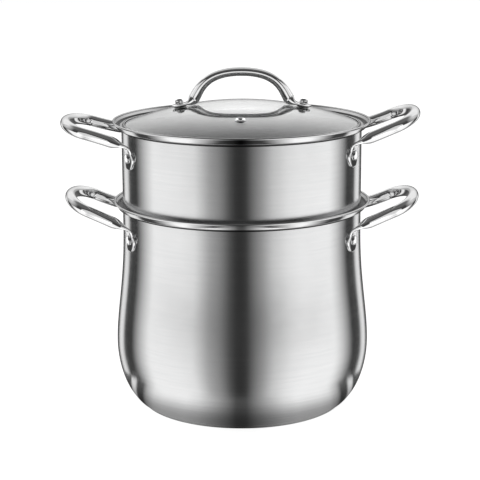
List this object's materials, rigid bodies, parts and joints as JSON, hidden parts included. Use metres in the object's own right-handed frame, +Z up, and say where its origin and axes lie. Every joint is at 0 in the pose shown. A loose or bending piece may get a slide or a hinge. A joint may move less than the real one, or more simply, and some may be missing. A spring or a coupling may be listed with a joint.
{
  "type": "stockpot",
  "caption": "Bellied stainless steel stock pot with a nesting steamer insert, riveted loop handles, flared pouring rims and a domed glass lid with an arched handle.",
  "frame": {"origin": "centre of the underside of the pot's base, on the axis of the vessels", "axes": "+Z up along the vessels' axis, +X towards the right-hand handles as pictured, -Y towards the front with the lid's vent"},
  "size_m": [0.3609, 0.2598, 0.3439],
  "materials": {
    "satin_steel": "satin stainless steel, brushed round the vessel",
    "polished_steel": "mirror-polished stainless steel",
    "aluminium": "plain, sealed inside the base",
    "clear_glass": "clear tempered glass",
    "clear_silicone": "translucent silicone"
  },
  "bodies": {
    "pot": {"pot_body": "satin_steel", "pot_base_cap": "satin_steel", "pot_base_core": "aluminium", "pot_handle_left": "polished_steel", "pot_handle_right": "polished_steel", "pot_rivet_left_front": "polished_steel", "pot_rivet_left_back": "polished_steel", "pot_rivet_right_front": "polished_steel", "pot_rivet_right_back": "polished_steel"},
    "steamer": {"steamer_body": "satin_steel", "steamer_handle_left": "polished_steel", "steamer_handle_right": "polished_steel", "steamer_rivet_left_front": "polished_steel", "steamer_rivet_left_back": "polished_steel", "steamer_rivet_right_front": "polished_steel", "steamer_rivet_right_back": "polished_steel"},
    "lid": {"lid_glass": "clear_glass", "lid_rim_band": "polished_steel", "lid_handle": "polished_steel", "lid_vent_grommet": "polished_steel", "lid_washer_upper_left": "clear_silicone", "lid_washer_lower_left": "clear_silicone", "lid_screw_left": "polished_steel", "lid_cap_nut_left": "polished_steel", "lid_washer_upper_right": "clear_silicone", "lid_washer_lower_right": "clear_silicone", "lid_screw_right": "polished_steel", "lid_cap_nut_right": "polished_steel"}
  },
  "joints": [
    {"name": "steamer_lift", "type": "slide", "parent": "pot", "child": "steamer", "axis": [0, 0, 1], "range_m": [0, 0.2]},
    {"name": "lid_lift", "type": "slide", "parent": "steamer", "child": "lid", "axis": [0, 0, 1], "range_m": [0, 0.15]}
  ]
}
